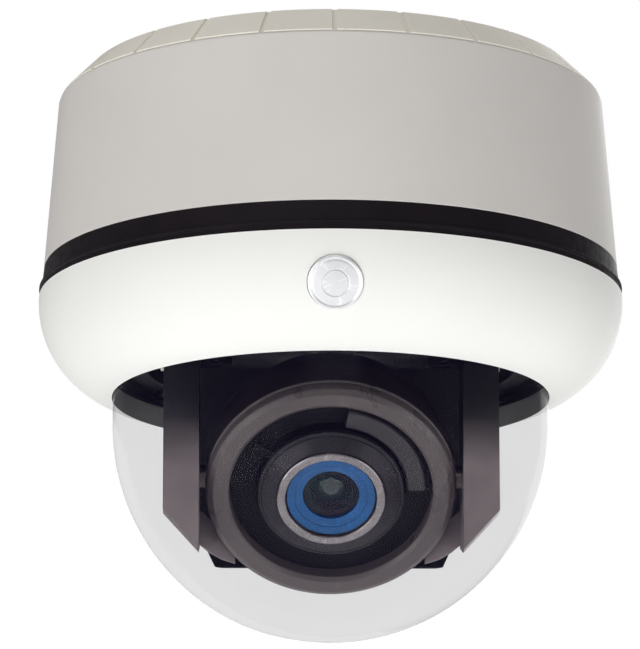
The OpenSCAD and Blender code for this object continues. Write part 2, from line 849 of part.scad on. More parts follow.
module front_shell() {
    out = ball_r - 0.1;
    color([0.2, 0.12, 0.13]) aim() difference() {
        union() {
            intersection() {
                difference() {
                    sphere(r = out);
                    sphere(r = shell_in);
                }
                translate([0, 0, split_z]) cylinder(r = ball_r + 5, h = ring_back - split_z);
            }
            translate([0, 0, baffle_z]) ring(shell_in + 0.2, collar_r, baffle_h);
            for (s = [-1, 1]) translate([s * ear_x, 0, ear_z + ear_h])
                cylinder(r = ear_boss_r, h = ring_back - ear_z - ear_h - 0.5);
        }
        for (s = [0, 1]) mirror([s, 0, 0]) along_x(axle_in_x) cylinder(r = axle_r, h = 5);
    }
}

module rear_shell() {
    out = ball_r - 0.1;
    color([0.1, 0.1, 0.11]) aim() difference() {
        sphere(r = out);
        sphere(r = shell_in);
        translate([0, 0, split_z]) cylinder(r = ball_r + 5, h = 2 * ball_r);
        for (s = [0, 1]) mirror([s, 0, 0]) along_x(axle_in_x) cylinder(r = axle_r, h = 5);
        translate([0, 0, -ball_r - cut]) cylinder(r = 4, h = 5);
    }
}

module tilt_axles() {
    color("silver") translate([0, 0, tilt_z]) {
        along_x(axle_in_x) cylinder(r = axle_r, h = belt_x + belt_w + 0.5 - axle_in_x);
        mirror([1, 0, 0]) along_x(axle_in_x) cylinder(r = axle_r, h = belt_x + 1 - axle_in_x);
    }
}

module tilt_pulley() {
    color("dimgray") translate([0, 0, tilt_z]) along_x(belt_x) difference() {
        pulley(driven_r - 0.05, pulley_rim);
        translate([0, 0, -cut]) cylinder(r = axle_r, h = belt_w + 2 * cut);
    }
}

module sensor_board() {
    w = sensor_board_w;
    color("darkgreen") aim() translate([-w / 2, -w / 2, sensor_z]) difference() {
        cube([w, w, board_h]);
        for (x = [3, w - 3], y = [3, w - 3]) translate([x, y, -cut]) cylinder(r = 1, h = board_h + 2 * cut);
    }
}

module image_sensor() {
    w = 12;
    color("midnightblue") aim() translate([-w / 2, -w / 2, sensor_z + board_h]) cube([w, w, 1.2]);
}

// Fixed barrel of the lens with its ears, its rear posts and the lug of the zoom motor
module lens_body() {
    post = sensor_board_w / 2 - 3;
    color("black") aim() difference() {
        union() {
            translate([0, 0, lens_back]) cylinder(r = lens_out, h = lens_fore - lens_back);
            translate([-ear_x, -ear_boss_r, ear_z]) cube([2 * ear_x, 2 * ear_boss_r, ear_h]);
            translate([-post - 2, -post - 2, lens_back]) cube([2 * post + 4, 2 * post + 4, 1.5]);
            for (x = [-post, post], y = [-post, post]) translate([x, y, sensor_z + board_h])
                cylinder(r = 1.5, h = lens_back - sensor_z - board_h + 0.5);
            rotate(zoom_angle) translate([lens_out - 2, -zoom_can_r, zoom_lug_z])
                cube([zoom_distance + zoom_can_r - lens_out, 2 * zoom_can_r, zoom_lug_h]);
        }
        translate([0, 0, lens_back - 2]) cylinder(r = lens_bore, h = lens_fore - lens_back + 4);
        rotate(zoom_angle) translate([zoom_distance, 0, zoom_lug_z - cut])
            cylinder(r = 1.6, h = zoom_lug_h + 2 * cut);
    }
}

// Cover over the zoom drive, beside the lens
module gear_cover() {
    span = 80;
    color([0.35, 0.32, 0.32]) aim() rotate(span / 2) translate([0, 0, ring_back]) difference() {
        ring_part(cover_r, collar_r + 0.2, cover_top - ring_back, span);
        translate([0, 0, -cut]) ring_part(cover_r - 1.2, collar_r + 1.4, cover_top - ring_back, span - 7);
    }
}

module zoom_motor_can() {
    color("slategray") aim() rotate(zoom_angle) translate([zoom_distance, 0, zoom_lug_z - zoom_can_h])
        difference() {
            cylinder(r = zoom_can_r, h = zoom_can_h);
            translate([0, 0, 2]) cylinder(r = zoom_shaft_r + slack, h = zoom_can_h);
        }
}

module zoom_ring() {
    color("dimgray") aim() rotate(zoom_angle) translate([0, 0, zoom_z]) difference() {
        gear(zoom_teeth, zoom_module, zoom_h);
        translate([0, 0, -cut]) cylinder(r = ring_bore, h = zoom_h + 2 * cut);
    }
}

module zoom_pinion() {
    turn = zoom_pinion_teeth % 2 == 0 ? 180 / zoom_pinion_teeth : 0;
    color("gold") aim() rotate(zoom_angle) translate([zoom_distance, 0, 0]) {
        translate([0, 0, zoom_z]) rotate(turn) gear(zoom_pinion_teeth, zoom_module, zoom_h);
        translate([0, 0, zoom_z - 6]) cylinder(r = zoom_shaft_r, h = 7);
    }
}

module zoom_cell() {
    color("black") aim() translate([0, 0, cell_z]) ring(lens_front_r, lens_bore - 5, cell_h);
}

// Focus ring with its lever reaching out over the baffle
module focus_ring() {
    color("black") aim() difference() {
        union() {
            translate([0, 0, focus_z]) ring(focus_r, ring_bore, focus_top - focus_z);
            rotate(lever_angle) translate([ring_bore + 1, -lever_w / 2, focus_top - lever_h])
                cube([lever_r - ring_bore - 1, lever_w, lever_h]);
        }
        for (a = [0:20:340]) rotate(a) translate([focus_r + 0.3, 0, focus_z - cut])
            cylinder(r = 0.7, h = focus_top - focus_z - lever_h);
    }
}

// Front barrel: tube, stepped cone and bright rim
module lens_front() {
    ledge_z = 7.15;
    outline = [[tube_in, -4.5], [lens_front_r, -4.5], [lens_front_r, cone_back], [cone_r, cone_back],
        [cone_r, cone_z], [rim_r + 0.3, rim_z - 0.5], [rim_r, rim_z - 0.3], [rim_r - 0.2, rim_z],
        [accent_r + 0.45, rim_z], [accent_r + 0.05, rim_z - 0.4], [accent_r + 0.05, rim_z - 2.2],
        [glass_r + 0.15, ledge_z], [glass_r - 1.45, ledge_z], [glass_r - 1.45, cone_back + 0.1],
        [tube_in, cone_back + 0.1]];
    color("dimgray") aim() rotate_extrude() polygon(outline);
}

module accent_ring() {
    color([0.12, 0.36, 0.6]) aim() rotate_extrude() polygon([[glass_r + 0.1, 7.25], [accent_r, rim_z - 2.1],
        [accent_r, rim_z - 0.9], [glass_r + 0.1, rim_z - 2]]);
}

module front_glass() {
    dome_round = 22;
    rise = dome_round - sqrt(pow(dome_round, 2) - pow(glass_r, 2));
    edge_z = 7.75;
    half = asin(glass_r / dome_round);
    color("lightblue") aim() rotate_extrude() polygon(concat([[0, 7.15], [glass_r, 7.15]],
        arc([0, edge_z + rise - dome_round], dome_round, 90 - half, 90, 6)));
}

// Iris blade: a plate with a notched round opening
module iris_blade(z, notch_side) {
    half_w = 5.2;
    half_l = 7;
    blade_h = 0.3;
    hole = 3.8;
    translate([0, 0, z]) linear_extrude(blade_h) difference() {
        square([2 * half_w, 2 * half_l], center = true);
        union() {
            circle(r = hole, $fn = 8);
            polygon([[-hole / 2, 0], [0, notch_side * (hole + 1)], [hole / 2, 0]]);
        }
    }
}

module iris_upper() {
    color("gray") aim() iris_blade(5.9, -1);
}

module iris_lower() {
    color("gray") aim() iris_blade(5.3, 1);
}

mount_base();
back_box();
housing_screws();
conduit_plug();
body_gasket();
bezel();
bayonet_ring();
lock_screw();
badge();
dome();
dome_seal();
dome_retainer();
deck_trim();
small_screws();
main_board();
network_jack();
power_terminal();
board_components();
chassis_plate();
pan_motor_can();
bearing_outer_race();
bearing_balls();
slip_ring_body();
pan_home_sensor();
pan_motor_shaft();
pan_pinion();
pan_hub();
pan_gear();
bearing_inner_race();
slip_ring_rotor();
turntable();
left_arm();
right_arm();
left_arm_cover();
right_arm_cover();
rear_liner();
arm_screws();
tilt_motor_can();
tilt_belt();
tilt_bushings();
tilt_drive_pulley();
front_ring();
front_shell();
rear_shell();
tilt_axles();
tilt_pulley();
sensor_board();
image_sensor();
lens_body();
gear_cover();
zoom_motor_can();
zoom_ring();
zoom_pinion();
zoom_cell();
focus_ring();
lens_front();
accent_ring();
front_glass();
iris_upper();
iris_lower();
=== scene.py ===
import json
import math
import bmesh
import bpy
from mathutils import Matrix, Vector


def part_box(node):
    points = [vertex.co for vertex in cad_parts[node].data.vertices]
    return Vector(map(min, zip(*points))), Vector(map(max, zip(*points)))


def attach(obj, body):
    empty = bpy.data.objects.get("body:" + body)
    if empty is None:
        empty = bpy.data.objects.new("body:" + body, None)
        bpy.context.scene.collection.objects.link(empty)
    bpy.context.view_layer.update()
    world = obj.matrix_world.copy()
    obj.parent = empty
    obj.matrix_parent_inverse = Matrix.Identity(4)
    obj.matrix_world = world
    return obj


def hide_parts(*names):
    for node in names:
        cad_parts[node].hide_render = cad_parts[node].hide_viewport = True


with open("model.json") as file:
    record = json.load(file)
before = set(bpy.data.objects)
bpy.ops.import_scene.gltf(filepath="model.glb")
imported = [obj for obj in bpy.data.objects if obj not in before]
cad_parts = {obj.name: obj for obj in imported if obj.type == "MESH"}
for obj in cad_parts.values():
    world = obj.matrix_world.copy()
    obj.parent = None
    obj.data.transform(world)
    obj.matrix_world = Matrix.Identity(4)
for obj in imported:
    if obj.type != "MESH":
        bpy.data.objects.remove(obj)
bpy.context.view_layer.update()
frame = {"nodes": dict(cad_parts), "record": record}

MM = 0.001
NODES = frame["nodes"]
JOINTS = {joint["name"]: joint for joint in frame["record"]["behaviour"]["joints"]}
BODY_OF = {node: body for body, nodes in frame["record"]["behaviour"]["bodies"].items() for node in nodes}
SLOT_OF = {part["node"]: part["material_slot"] for part in frame["record"]["subparts"]}
TILT_AXIS = Vector(JOINTS["tilt"]["pos_m"])
LENS_AXIS = Vector(JOINTS["focus_slide"]["axis"])
LENS_UP = Vector(JOINTS["iris_upper_slide"]["axis"])


# Camera

ELEVATION = math.radians(-13.3)
AZIMUTH = math.radians(-0.8)
DISTANCE = 1.2
VIEW_HEIGHT = 164.07 * MM    # what the picture's height takes in at the object
SHIFT_RIGHT = -2.68 * MM     # from the centre of the bezel's opening to the middle of the view
SHIFT_UP = 18.99 * MM
SENSOR = 36


def add_camera():
    """Looks up at the hanging object, slightly from the left."""
    right = Vector((math.cos(AZIMUTH), math.sin(AZIMUTH), 0))
    out = Vector((math.sin(AZIMUTH) * math.cos(ELEVATION), -math.cos(AZIMUTH) * math.cos(ELEVATION),
                  math.sin(ELEVATION)))
    up = out.cross(right)
    opening = Vector((0, 0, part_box("bezel")[0][2]))
    target = opening + right * SHIFT_RIGHT + up * SHIFT_UP
    data = bpy.data.cameras.new("camera")
    data.sensor_width = SENSOR
    data.lens = DISTANCE / VIEW_HEIGHT * SENSOR
    cam = bpy.data.objects.new("camera", data)
    bpy.context.scene.collection.objects.link(cam)
    turn = Matrix((right, up, out)).transposed().to_4x4()
    cam.matrix_world = Matrix.Translation(target + out * DISTANCE) @ turn
    bpy.context.scene.camera = cam


add_camera()


# Materials: every one is built from the same kit of procedural parts

class Shader:
    """A Principled material with helpers for the textures that drive it."""

    def __init__(self, name, roughness=0.5, metallic=0.0, coat=0.0, coat_roughness=0.1, ior=1.46, gloss=0.5):
        self.material = bpy.data.materials.new(name)
        self.material.use_nodes = True
        self.tree = self.material.node_tree
        self.shader = self.tree.nodes["Principled BSDF"]
        self.set("Roughness", roughness)
        self.set("Metallic", metallic)
        self.set("Coat Weight", coat)
        self.set("Coat Roughness", coat_roughness)
        self.set("IOR", ior)
        self.set("Specular IOR Level", gloss)
        self.place = self.tree.nodes.new("ShaderNodeTexCoord").outputs["Object"]
        self.height = None

    def set(self, socket, value):
        self.shader.inputs[socket].default_value = value

    def link(self, source, socket):
        self.tree.links.new(source, self.shader.inputs[socket])

    def noise(self, size_mm, detail=3.0, stretch=(1, 1, 1), rough=0.5, distortion=0.0):
        """Noise with features of about size_mm, drawn out along the axes that stretch names."""
        move = self.tree.nodes.new("ShaderNodeMapping")
        move.inputs["Scale"].default_value = [1000 / size_mm / s for s in stretch]
        self.tree.links.new(self.place, move.inputs["Vector"])
        node = self.tree.nodes.new("ShaderNodeTexNoise")
        node.inputs["Scale"].default_value = 1
        node.inputs["Detail"].default_value = detail
        node.inputs["Roughness"].default_value = rough
        node.inputs["Distortion"].default_value = distortion
        self.tree.links.new(move.outputs[0], node.inputs["Vector"])
        return node.outputs["Fac"]

    def cells(self, size_mm, feature="F1"):
        node = self.tree.nodes.new("ShaderNodeTexVoronoi")
        node.feature = feature
        node.inputs["Scale"].default_value = 1000 / size_mm
        self.tree.links.new(self.place, node.inputs["Vector"])
        return node.outputs["Distance"]

    def spread(self, source, low, high, from_low=0.3, from_high=0.7):
        """Maps a texture's middle range onto low..high."""
        node = self.tree.nodes.new("ShaderNodeMapRange")
        node.inputs["From Min"].default_value = from_low
        node.inputs["From Max"].default_value = from_high
        node.inputs["To Min"].default_value = low
        node.inputs["To Max"].default_value = high
        self.tree.links.new(source, node.inputs["Value"])
        return node.outputs[0]

    def mix(self, factor, first, second):
        """Mixes two colours, each a tuple or a socket."""
        node = self.tree.nodes.new("ShaderNodeMix")
        node.data_type = "RGBA"
        self.tree.links.new(factor, node.inputs["Factor"])
        for name, value in (("A", first), ("B", second)):
            socket = [s for s in node.inputs if s.name == name and s.type == "RGBA"][0]
            if isinstance(value, tuple):
                socket.default_value = (*value, 1)
            else:
                self.tree.links.new(value, socket)
        return [s for s in node.outputs if s.type == "RGBA"][0]

    def edges(self, low=0.5, high=0.62):
        """1 on convex edges, 0 elsewhere."""
        node = self.tree.nodes.new("ShaderNodeNewGeometry")
        return self.spread(node.outputs["Pointiness"], 0, 1, low, high)

    def bump(self, source, depth_mm, strength=1.0):
        node = self.tree.nodes.new("ShaderNodeBump")
        node.inputs["Strength"].default_value = strength
        node.inputs["Distance"].default_value = depth_mm * MM
        self.tree.links.new(source, node.inputs["Height"])
        if self.height is not None:
            self.tree.links.new(self.height, node.inputs["Normal"])
        self.height = node.outputs["Normal"]
        self.link(self.height, "Normal")


def shade(colour, factor):
    return tuple(min(1.0, c * factor) for c in colour)


def plastic(name, colour, roughness, grain_mm=0.5, grain_depth=0.012, drift=0.05, coat=0.0, wear=0.25,
            gloss=0.5):
    """Moulded plastic: slow colour drift, fine spark-eroded grain, faint rubs and lighter worn edges."""
    s = Shader(name, roughness, coat=coat, coat_roughness=0.12, gloss=gloss)
    slow = s.noise(38, 3)
    body = s.mix(s.spread(slow, 0, 1), shade(colour, 1 - drift), shade(colour, 1 + drift))
    specks = s.noise(1.1, 2, rough=0.7)
    body = s.mix(s.spread(specks, 0, 0.1, 0.62, 0.8), body, shade(colour, 0.85))
    worn = s.mix(s.spread(s.edges(), 0, wear, 0, 1), body, shade(colour, 1.35))
    s.link(worn, "Base Color")
    rubs = s.noise(9, 4, stretch=(1, 1, 7), distortion=0.4)
    s.link(s.spread(rubs, roughness - 0.06, roughness + 0.07), "Roughness")
    s.bump(s.noise(grain_mm, 2, rough=0.6), grain_depth, 0.4)
    s.bump(slow, 0.08, 0.1)
    return s.material


ARM_REFLECTION_FULL_Z = -104 * MM       # the painted reflection makes the arms pale below this height
ARM_REFLECTION_NONE_Z = -91 * MM        # and leaves them dark above this one


def arm_plastic_painted_reflection(name):
    """Satin black arm with a painted reflection that makes it paler low down."""
    s = Shader(name, 0.24, gloss=0.25)
    level = s.tree.nodes.new("ShaderNodeSeparateXYZ")
    s.tree.links.new(s.place, level.inputs[0])
    painted_reflection = s.spread(level.outputs["Z"], 1, 0, ARM_REFLECTION_FULL_Z, ARM_REFLECTION_NONE_Z)
    cloud = s.spread(s.noise(7, 3), 0.8, 1)
    amount = s.tree.nodes.new("ShaderNodeMath")
    amount.operation = "MULTIPLY"
    s.tree.links.new(painted_reflection, amount.inputs[0])
    s.tree.links.new(cloud, amount.inputs[1])
    # painted reflection: a pale grey-pink mixed over the near-black plastic, strongest low on the arm
    body = s.mix(amount.outputs[0], (0.005, 0.0045, 0.006), (0.26, 0.215, 0.225))
    s.link(s.mix(s.spread(s.edges(), 0, 0.4, 0, 1), body, (0.05, 0.045, 0.05)), "Base Color")
    s.link(s.spread(s.noise(6, 4, stretch=(1, 1, 5)), 0.3, 0.42), "Roughness")
    s.bump(s.noise(0.45, 2), 0.0015, 0.4)
    return s.material


def metal(name, colour, roughness, turned=(1, 1, 1), line_mm=0.25, depth=0.006, tarnish=0.12):
    """Bare or plated metal: fine machining lines, patches of duller finish and bright edges."""
    s = Shader(name, roughness, metallic=1.0)
    patches = s.noise(7, 4, distortion=0.3)
    body = s.mix(s.spread(patches, 0, 1), shade(colour, 1 - tarnish), shade(colour, 1 + tarnish * 0.5))
    body = s.mix(s.spread(s.edges(), 0, 0.5, 0, 1), body, shade(colour, 1.3))
    s.link(body, "Base Color")
    lines = s.noise(line_mm, 2, stretch=turned)
    s.link(s.spread(lines, roughness - 0.08, roughness + 0.12), "Roughness")
    s.bump(lines, depth, 0.6)
    return s.material


def anodised(name, colour, roughness, metallic=0.55, coat=0.0, line_mm=0.18, gloss=0.5):
    """Anodised or painted metal with circular turning marks softened by the coating."""
    s = Shader(name, roughness, metallic=metallic, coat=coat, coat_roughness=0.2, gloss=gloss)
    cloud = s.noise(5, 3)
    body = s.mix(s.spread(cloud, 0, 1), shade(colour, 0.9), shade(colour, 1.12))
    body = s.mix(s.spread(s.edges(0.52, 0.66), 0, 0.45, 0, 1), body, shade(colour, 1.9))
    s.link(body, "Base Color")
    fine = s.noise(line_mm, 3, rough=0.65)
    s.link(s.spread(fine, roughness - 0.07, roughness + 0.09), "Roughness")
    s.bump(fine, 0.006, 0.5)
    return s.material


def rubber(name, colour, roughness):
    s = Shader(name, roughness, gloss=0.15)
    bloom = s.noise(14, 4, distortion=0.5)
    body = s.mix(s.spread(bloom, 0, 1), colour, shade(colour, 1.5))
    s.link(body, "Base Color")
    s.link(s.spread(s.noise(2.5, 3), roughness - 0.08, roughness + 0.1), "Roughness")
    s.bump(s.noise(0.35, 3), 0.01, 0.8)
    return s.material


def board(name, colour):
    """Solder mask with copper tracks that show through it as a faint raised pattern."""
    s = Shader(name, 0.32, coat=0.4)
    tracks = s.spread(s.cells(3.2, "DISTANCE_TO_EDGE"), 1, 0, 0.02, 0.09)
    body = s.mix(tracks, colour, shade(colour, 1.9))
    pads = s.spread(s.cells(2.1), 1, 0, 0.1, 0.16)
    s.link(s.mix(pads, body, (0.55, 0.52, 0.42)), "Base Color")
    s.link(s.spread(s.noise(1.5), 0.25, 0.4), "Roughness")
    s.bump(tracks, 0.03, 0.6)
    return s.material


DOME_CLEAR = 0.152           # how much of what is behind it the dome hides, face on
DOME_RIM = 0.9               # and at its rim
DOME_R = 55
DOME_CENTRE_Z = round(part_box("dome")[0][2], 6) + DOME_R * MM
DOME_SURFACE = (0.0535, 0.054)   # distance from the centre where the outer surface begins


def clear_shell(name):
    """Smoked clear acrylic: almost nothing face on, thicker and greyer towards the rim."""
    s = Shader(name, 0.03, ior=1.49, gloss=0.12)
    facing = s.tree.nodes.new("ShaderNodeLayerWeight")
    facing.inputs["Blend"].default_value = 0.5
    rim = s.tree.nodes.new("ShaderNodeMath")
    rim.operation = "POWER"
    rim.inputs[1].default_value = 14
    s.tree.links.new(facing.outputs["Facing"], rim.inputs[0])
    haze = s.spread(s.noise(16, 3), -0.006, 0.006)
    depth = s.spread(rim.outputs[0], DOME_CLEAR, DOME_RIM, 0, 1)
    total = s.tree.nodes.new("ShaderNodeMath")
    s.tree.links.new(depth, total.inputs[0])
    s.tree.links.new(haze, total.inputs[1])
    reach = s.tree.nodes.new("ShaderNodeVectorMath")
    reach.operation = "DISTANCE"
    reach.inputs[1].default_value = (0, 0, DOME_CENTRE_Z)
    s.tree.links.new(s.place, reach.inputs[0])
    outside = s.spread(reach.outputs["Value"], 0.02, 1, *DOME_SURFACE)
    share = s.tree.nodes.new("ShaderNodeMath")
    share.operation = "MULTIPLY"
    s.tree.links.new(total.outputs[0], share.inputs[0])
    s.tree.links.new(outside, share.inputs[1])
    s.link(share.outputs[0], "Alpha")
    tint = s.mix(s.spread(s.noise(30, 2), 0, 1), (0.018, 0.014, 0.045), (0.024, 0.019, 0.055))
    s.link(tint, "Base Color")
    s.link(s.spread(s.noise(5, 3), 0.015, 0.05), "Roughness")
    s.bump(s.noise(24, 2), 0.05, 0.1)
    return s.material


def coated_glass(name):
    """Front element: dark, glossy, with the green and magenta cast of its coating."""
    s = Shader(name, 0.03, coat=0.3, coat_roughness=0.02, ior=1.5, gloss=0.3)
    s.set("Alpha", 0.14)
    cast = s.mix(s.spread(s.noise(9, 2, distortion=0.6), 0, 1), (0.01, 0.05, 0.06), (0.04, 0.015, 0.06))
    s.link(cast, "Base Color")
    s.link(s.spread(s.noise(3, 2), 0.02, 0.05), "Roughness")
    s.bump(s.noise(8, 2), 0.01, 0.1)
    return s.material


MATERIALS = {
    "ivory_plastic": plastic("ivory_plastic", (0.84, 0.80, 0.71), 0.48, 0.6, 0.02),
    "box_plastic": plastic("box_plastic", (0.61, 0.585, 0.56), 0.5, 0.5, 0.015, drift=0.025),
    "white_plastic": plastic("white_plastic", (0.79, 0.79, 0.765), 0.5, 0.7, 0.006, drift=0.012, gloss=0.2),
    "black_rubber": rubber("black_rubber", (0.006, 0.004, 0.006), 0.5),
    "black_plastic": plastic("black_plastic", (0.006, 0.005, 0.007), 0.2, 0.45, 0.0015, wear=0.5, gloss=0.5),
    "clear_dome": clear_shell("clear_dome"),
    "badge_silver": metal("badge_silver", (0.70, 0.705, 0.715), 0.45, (1, 12, 1), 0.5, depth=0.001,
                          tarnish=0.03),
    "screw_steel": metal("screw_steel", (0.62, 0.615, 0.60), 0.3),
    "bearing_steel": metal("bearing_steel", (0.68, 0.68, 0.69), 0.18, line_mm=0.4, depth=0.003),
    "chassis_metal": metal("chassis_metal", (0.55, 0.56, 0.57), 0.42, line_mm=0.6, depth=0.01),
    "motor_metal": metal("motor_metal", (0.36, 0.37, 0.39), 0.35, (1, 1, 9), 0.3),
    "board_green": board("board_green", (0.012, 0.085, 0.03)),
    "component_black": plastic("component_black", (0.02, 0.02, 0.022), 0.4, 0.3, 0.01),
    "terminal_green": plastic("terminal_green", (0.02, 0.22, 0.07), 0.38),
    "gear_brass": metal("gear_brass", (0.60, 0.43, 0.16), 0.28),
    "ball_plastic": plastic("ball_plastic", (0.085, 0.07, 0.071), 0.3, 0.5, 0.003, drift=0.08, wear=0.6),
    "lens_black": anodised("lens_black", (0.012, 0.012, 0.014), 0.38),
    "lens_barrel": anodised("lens_barrel", (0.02, 0.018, 0.022), 0.28, gloss=0.4),
    "cover_grey": plastic("cover_grey", (0.026, 0.023, 0.027), 0.36, 0.4, 0.004),
    "accent_blue": anodised("accent_blue", (0.002, 0.075, 0.24), 0.26, metallic=0.45, coat=0.3),
    "optic_glass": coated_glass("optic_glass"),
    "arm_plastic_painted_reflection": arm_plastic_painted_reflection("arm_plastic_painted_reflection"),
    "dark_shell": plastic("dark_shell", (0.016, 0.010, 0.012), 0.35, 0.4, 0.003, wear=0.5, gloss=0.35),
    "dark_steel": metal("dark_steel", (0.10, 0.085, 0.085), 0.35),
    "satin_rim": anodised("satin_rim", (0.26, 0.24, 0.25), 0.22, metallic=0.9),
    "matt_black": plastic("matt_black", (0.004, 0.0035, 0.0045), 0.6, 0.4, 0.004, gloss=0.15),
    "inner_optic": anodised("inner_optic", (0.10, 0.125, 0.12), 0.22, metallic=0.6, coat=0.6),
}

for node, obj in NODES.items():
    obj.data.materials.clear()
    obj.data.materials.append(MATERIALS["dark_steel" if node == "tilt_axles" else SLOT_OF[node]])


# Modelling helpers, all in millimetres until an object is made

def finish_piece(obj, body, slot, replaces=(), material=None, smooth=35):
    """Gives a new object its material, smoothing and place in the frame."""
    obj.data.materials.clear()
    obj.data.materials.append(MATERIALS[material or slot])
    for polygon in obj.data.polygons:
        polygon.use_smooth = True
    obj.data.set_sharp_from_angle(angle=math.radians(smooth))
    weighted = obj.modifiers.new("normals", "WEIGHTED_NORMAL")
    weighted.keep_sharp = True
    if replaces:
        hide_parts(*replaces)
    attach(obj, body)
    return obj


def new_object(name, bm):
    """An object from a bmesh drawn in millimetres."""
    bmesh.ops.recalc_face_normals(bm, faces=bm.faces)
    bmesh.ops.scale(bm, vec=(MM, MM, MM), verts=bm.verts)
    mesh = bpy.data.meshes.new(name)
    bm.to_mesh(mesh)
    bm.free()
    obj = bpy.data.objects.new(name, mesh)
    bpy.context.scene.collection.objects.link(obj)
    return obj


def rounded(profile, steps=4):
    """Rounds the corners of a closed outline of (x, y) or (x, y, radius) points."""
    out = []
    count = len(profile)
    for i, corner in enumerate(profile):
        here = Vector(corner[:2])
        radius = corner[2] if len(corner) > 2 else 0
        if not radius:
            out.append(tuple(here))
            continue
        before = Vector(profile[i - 1][:2]) - here
        after = Vector(profile[(i + 1) % count][:2]) - here
        angle = before.angle(after)
        reach = radius / math.tan(angle / 2)
        limit = 0.49 * min(before.length, after.length)
        if reach > limit:
            radius *= limit / reach
            reach = limit
        start = here + before.normalized() * reach
        end = here + after.normalized() * reach
        inwards = (before.normalized() + after.normalized()).normalized()
        middle = here + inwards * (radius / math.sin(angle / 2))
        a = math.atan2(start.y - middle.y, start.x - middle.x)
        b = math.atan2(end.y - middle.y, end.x - middle.x)
        turn = (b - a + math.pi) % (2 * math.pi) - math.pi
        for k in range(steps + 1):
            t = a + turn * k / steps
            out.append((middle.x + radius * math.cos(t), middle.y + radius * math.sin(t)))
    return out


def lathe_mesh(bm, profile, segments=192, start=0, sweep=360):
    """Turns a closed outline of (radius, height) points about Z and adds it to bm."""
    whole = sweep == 360
    rows = []
    for i in range(segments if whole else segments + 1):
        t = math.radians(start + sweep * i / segments)
        rows.append([bm.verts.new((r * math.cos(t), r * math.sin(t), z)) for r, z in profile])
    count = len(profile)
    for i in range(segments):
        first, second = rows[i], rows[(i + 1) % len(rows)]
        for k in range(count):
            n = (k + 1) % count
            bm.faces.new((first[k], second[k], second[n], first[n]))
    if not whole:
        bm.faces.new(rows[0])
        bm.faces.new(list(reversed(rows[-1])))
    return bm


def lathe(name, profile, segments=192, matrix=None, steps=4):
    """A turned piece. Points on the axis collapse to one."""
    bm = bmesh.new()
    lathe_mesh(bm, rounded(profile, steps), segments)
    bmesh.ops.remove_doubles(bm, verts=bm.verts, dist=1e-4)
    if matrix is not None:
        bmesh.ops.transform(bm, matrix=matrix, verts=bm.verts)
    return new_object(name, bm)


def extrusion(name, outline, low, high, matrix=None, edge=0.0, steps=2):
    """A prism from a closed outline, with its rims rounded by edge."""
    bm = bmesh.new()
    bottom = [bm.verts.new((x, y, low)) for x, y in outline]
    top = [bm.verts.new((x, y, high)) for x, y in outline]
    bm.faces.new(list(reversed(bottom)))
    bm.faces.new(top)
    count = len(outline)
    for i in range(count):
        n = (i + 1) % count
        bm.faces.new((bottom[i], bottom[n], top[n], top[i]))
    bmesh.ops.recalc_face_normals(bm, faces=bm.faces)
    if edge:
        rims = [e for e in bm.edges if len(e.link_faces) == 2 and e.calc_face_angle(0) > math.radians(40)]
        bmesh.ops.bevel(bm, geom=rims, offset=edge, segments=steps, profile=0.5, affect="EDGES")
    if matrix is not None:
        bmesh.ops.transform(bm, matrix=matrix, verts=bm.verts)
    return new_object(name, bm)


def cut_away(obj, cutters, mode="DIFFERENCE"):
    """Takes the cutters out of obj and throws them away."""
    for cutter in cutters:
        modifier = obj.modifiers.new("cut", "BOOLEAN")
        modifier.operation = mode
        modifier.solver = "EXACT"
        modifier.object = cutter
    bake(obj)
    for cutter in cutters:
        bpy.data.objects.remove(cutter)
    return obj


def bake(obj):
    """Applies every modifier."""
    graph = bpy.context.evaluated_depsgraph_get()
    mesh = bpy.data.meshes.new_from_object(obj.evaluated_get(graph))
    obj.modifiers.clear()
    old = obj.data
    obj.data = mesh
    bpy.data.meshes.remove(old)


def softened(name, node, radius, steps=3, angle=30):
    """A copy of a CAD node with its hard edges rounded."""
    source = NODES[node]
    mesh = source.data.copy()
    obj = bpy.data.objects.new(name, mesh)
    bpy.context.scene.collection.objects.link(obj)
    bm = bmesh.new()
    bm.from_mesh(mesh)
    bmesh.ops.remove_doubles(bm, verts=bm.verts, dist=1e-6)
    bmesh.ops.dissolve_limit(bm, angle_limit=math.radians(1), verts=bm.verts, edges=bm.edges)
    bm.to_mesh(mesh)
    bm.free()
    bevel = obj.modifiers.new("bevel", "BEVEL")
    bevel.width = radius * MM
    bevel.segments = steps
    bevel.limit_method = "ANGLE"
    bevel.angle_limit = math.radians(angle)
    bevel.use_clamp_overlap = True
    bake(obj)
    return obj


def join(name, objects):
    """One object from several, which are thrown away."""
    bm = bmesh.new()
    for obj in objects:
        bm.from_mesh(obj.data)
        bpy.data.objects.remove(obj)
    mesh = bpy.data.meshes.new(name)
    bm.to_mesh(mesh)
    bm.free()
    result = bpy.data.objects.new(name, mesh)
    bpy.context.scene.collection.objects.link(result)
    return result


def at(x, y, z):
    return Matrix.Translation((x, y, z))


def lens_frame():
    """Millimetre frame of the camera ball: Z along the lens, Y up, origin on the tilt axis."""
    side = LENS_UP.cross(LENS_AXIS)
    turn = Matrix((side, LENS_UP, LENS_AXIS)).transposed().to_4x4()
    return Matrix.Translation(TILT_AXIS / MM) @ turn


AIM = lens_frame()


# Housing sizes in millimetres. Heights are below the ceiling face, which is at 0.

def level(node, end):
    """Height of a CAD node's lowest (end 0) or highest (end 1) point."""
    return round(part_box(node)[end][2] / MM, 3)


